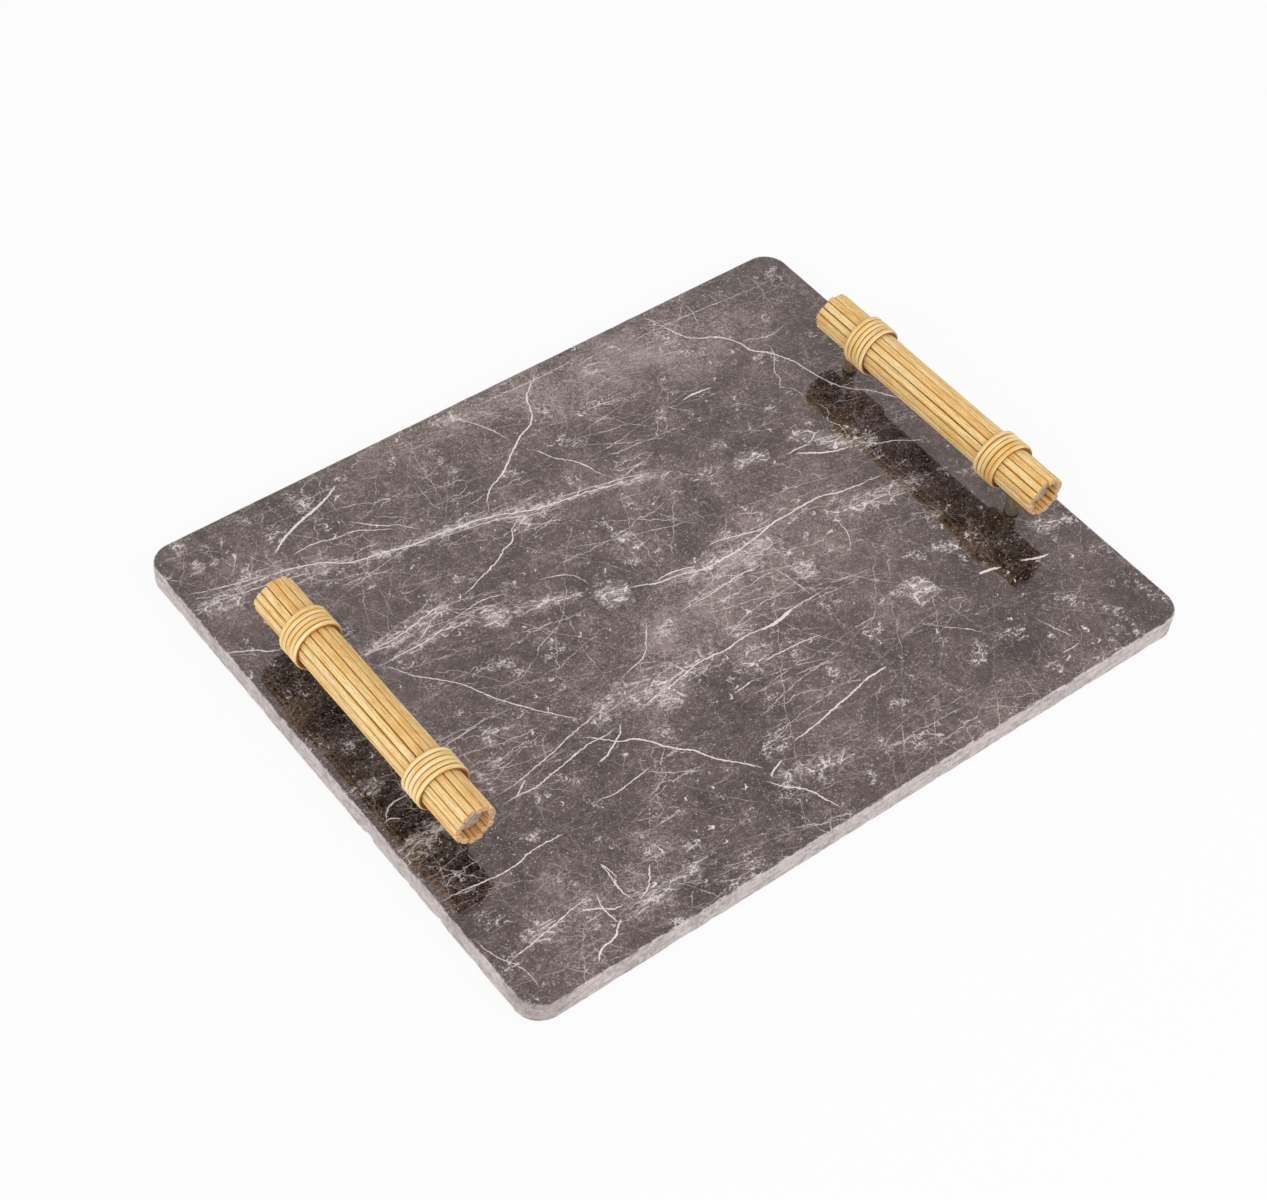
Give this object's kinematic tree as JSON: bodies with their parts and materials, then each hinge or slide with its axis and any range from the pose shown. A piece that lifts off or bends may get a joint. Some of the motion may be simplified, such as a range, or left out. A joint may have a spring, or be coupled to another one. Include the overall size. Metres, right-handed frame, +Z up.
{
  "type": "serving tray",
  "caption": "Rectangular dark marble serving tray with rounded corners and reed-bundle handles, wrapped in cane, standing on short metal posts.",
  "frame": {"origin": "on the table under the middle of the slab", "axes": "+X from the left handle to the right handle, along the long side; +Y from the front edge to the back edge, along the handles; +Z up"},
  "size_m": [0.45, 0.365, 0.0636],
  "materials": {
    "marble": "polished dark grey-brown marble with fine pale veins, edges honed paler",
    "reed": "dry straw-coloured reed, fine lengthwise fibres",
    "cane": "smooth round cane, satin",
    "core_metal": "sawn grey metal",
    "post_metal": "dark antique brass, satin",
    "washer_black": "matt black",
    "screw_steel": "zinc plated",
    "foot_rubber": "matt"
  },
  "bodies": {
    "root": {"marble_slab": "marble", "left_front_foot": "foot_rubber", "left_back_foot": "foot_rubber", "right_front_foot": "foot_rubber", "right_back_foot": "foot_rubber", "left_core_rod": "core_metal", "left_reed_01": "reed", "left_reed_02": "reed", "left_reed_03": "reed", "left_reed_04": "reed", "left_reed_05": "reed", "left_reed_06": "reed", "left_reed_07": "reed", "left_reed_08": "reed", "left_reed_09": "reed", "left_reed_10": "reed", "left_reed_11": "reed", "left_reed_12": "reed", "left_reed_13": "reed", "left_reed_14": "reed", "left_reed_15": "reed", "left_reed_16": "reed", "left_front_wrap": "cane", "left_front_post": "post_metal", "left_front_washer": "washer_black", "left_front_screw": "screw_steel", "left_back_wrap": "cane", "left_back_post": "post_metal", "left_back_washer": "washer_black", "left_back_screw": "screw_steel", "right_core_rod": "core_metal", "right_reed_01": "reed", "right_reed_02": "reed", "right_reed_03": "reed", "right_reed_04": "reed", "right_reed_05": "reed", "right_reed_06": "reed", "right_reed_07": "reed", "right_reed_08": "reed", "right_reed_09": "reed", "right_reed_10": "reed", "right_reed_11": "reed", "right_reed_12": "reed", "right_reed_13": "reed", "right_reed_14": "reed", "right_reed_15": "reed", "right_reed_16": "reed", "right_front_wrap": "cane", "right_front_post": "post_metal", "right_front_washer": "washer_black", "right_front_screw": "screw_steel", "right_back_wrap": "cane", "right_back_post": "post_metal", "right_back_washer": "washer_black", "right_back_screw": "screw_steel"}
  },
  "joints": []
}
